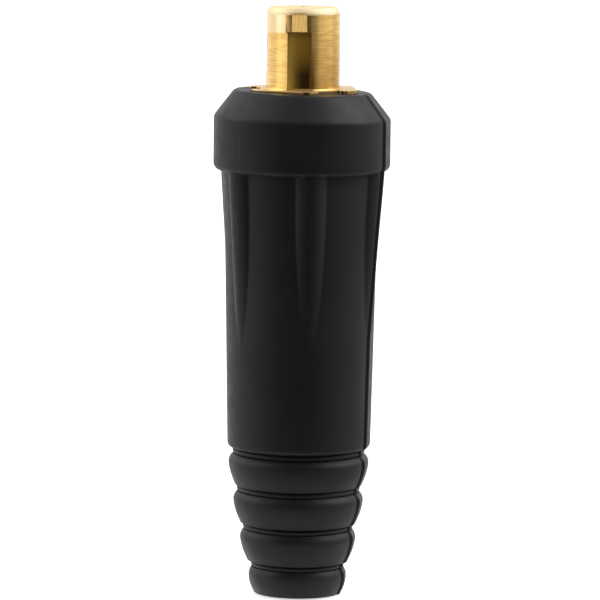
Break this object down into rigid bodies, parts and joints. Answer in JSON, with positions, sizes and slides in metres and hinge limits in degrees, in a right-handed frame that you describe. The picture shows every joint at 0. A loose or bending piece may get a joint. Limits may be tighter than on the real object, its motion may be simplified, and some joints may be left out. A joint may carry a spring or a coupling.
{
  "type": "welding cable connector",
  "caption": "Twist-lock welding cable plug: a turned brass contact pin with a keyed flange, in a black rubber boot with grip ridges and a ribbed tail for the cable.",
  "frame": {"origin": "on the axis, at the end of the boot's tail, where the plug stands", "axes": "+Z along the plug from the tail to the tip of the contact pin, -Y the front, which the keyway in the pin faces to within a few degrees, +X to the right of the front"},
  "size_m": [0.031, 0.031, 0.1039],
  "materials": {
    "boot_rubber": "satin moulded black rubber",
    "contact_brass": "bright turned brass with fine tool marks",
    "screw_steel": "black oxide steel",
    "ferrule_copper": "rolled soft copper, packed with brass density"
  },
  "bodies": {
    "root": {"rubber_boot": "boot_rubber", "plug_body": "contact_brass", "front_clamp_screw": "screw_steel", "rear_clamp_screw": "screw_steel", "cable_ferrule": "ferrule_copper"}
  },
  "joints": []
}
